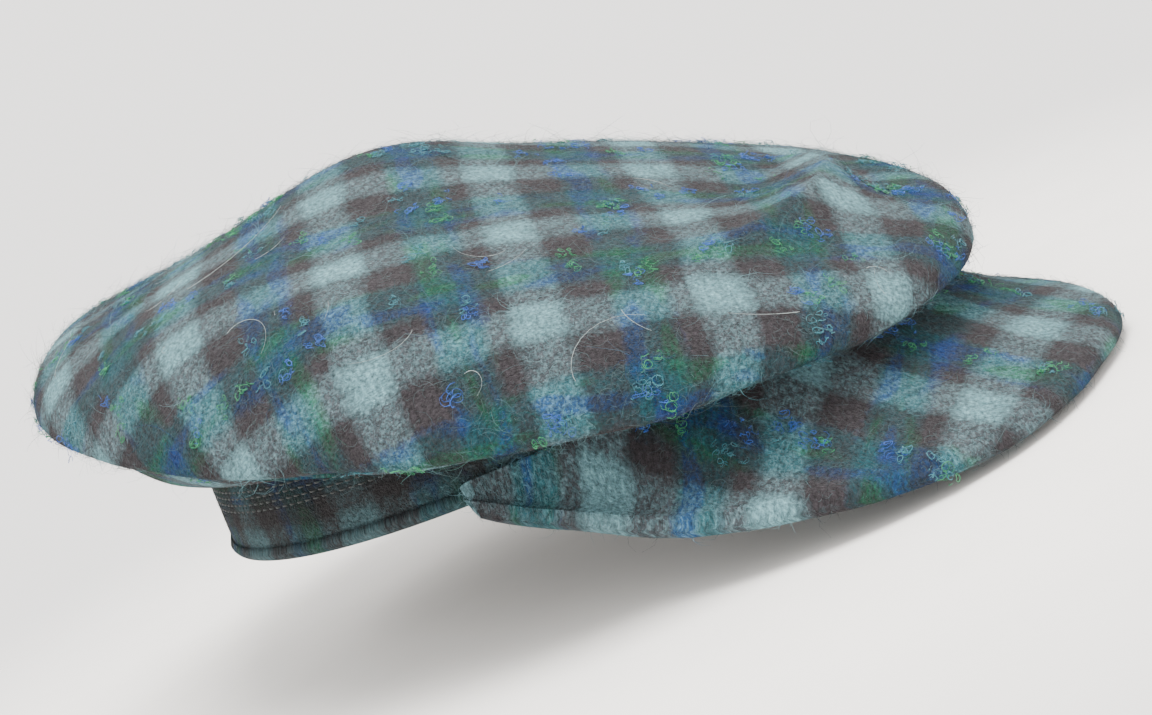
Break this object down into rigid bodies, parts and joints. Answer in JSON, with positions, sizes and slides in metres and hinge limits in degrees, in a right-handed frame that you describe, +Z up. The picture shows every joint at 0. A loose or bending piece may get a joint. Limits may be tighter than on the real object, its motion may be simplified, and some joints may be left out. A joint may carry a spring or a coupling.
{
  "type": "newsboy cap",
  "caption": "Soft tweed newsboy cap with a wide, low crown that falls over a short curved visor, on an upright head band.",
  "frame": {"origin": "centre of the head opening, on the plane of the band's bottom edge", "axes": "+Z up through the crown, the visor towards -Y, the wearer's right on -X"},
  "size_m": [0.2278, 0.2943, 0.1244],
  "materials": {
    "check_tweed": "hairy wool and mohair weave",
    "tweed_thread": "matt",
    "satin_lining": "satin",
    "lining_thread": "matt",
    "ribbon": "ribbed, matt",
    "interlining": "matt",
    "visor_board": "matt",
    "label_weave": "fine woven, matt"
  },
  "bodies": {
    "root": {"crown_top": "check_tweed", "crown_underside": "check_tweed", "crown_lining_top": "satin_lining", "crown_lining_side": "satin_lining", "lining_seam_stitches": "lining_thread", "outer_band": "check_tweed", "band_interlining": "interlining", "sweatband": "ribbon", "band_stitch_rows": "tweed_thread", "sweatband_stitches": "lining_thread", "visor_board": "visor_board", "visor_top_cover": "check_tweed", "visor_under_cover": "check_tweed", "maker_label": "label_weave", "maker_label_stitches": "lining_thread", "size_tab": "label_weave"}
  },
  "joints": []
}
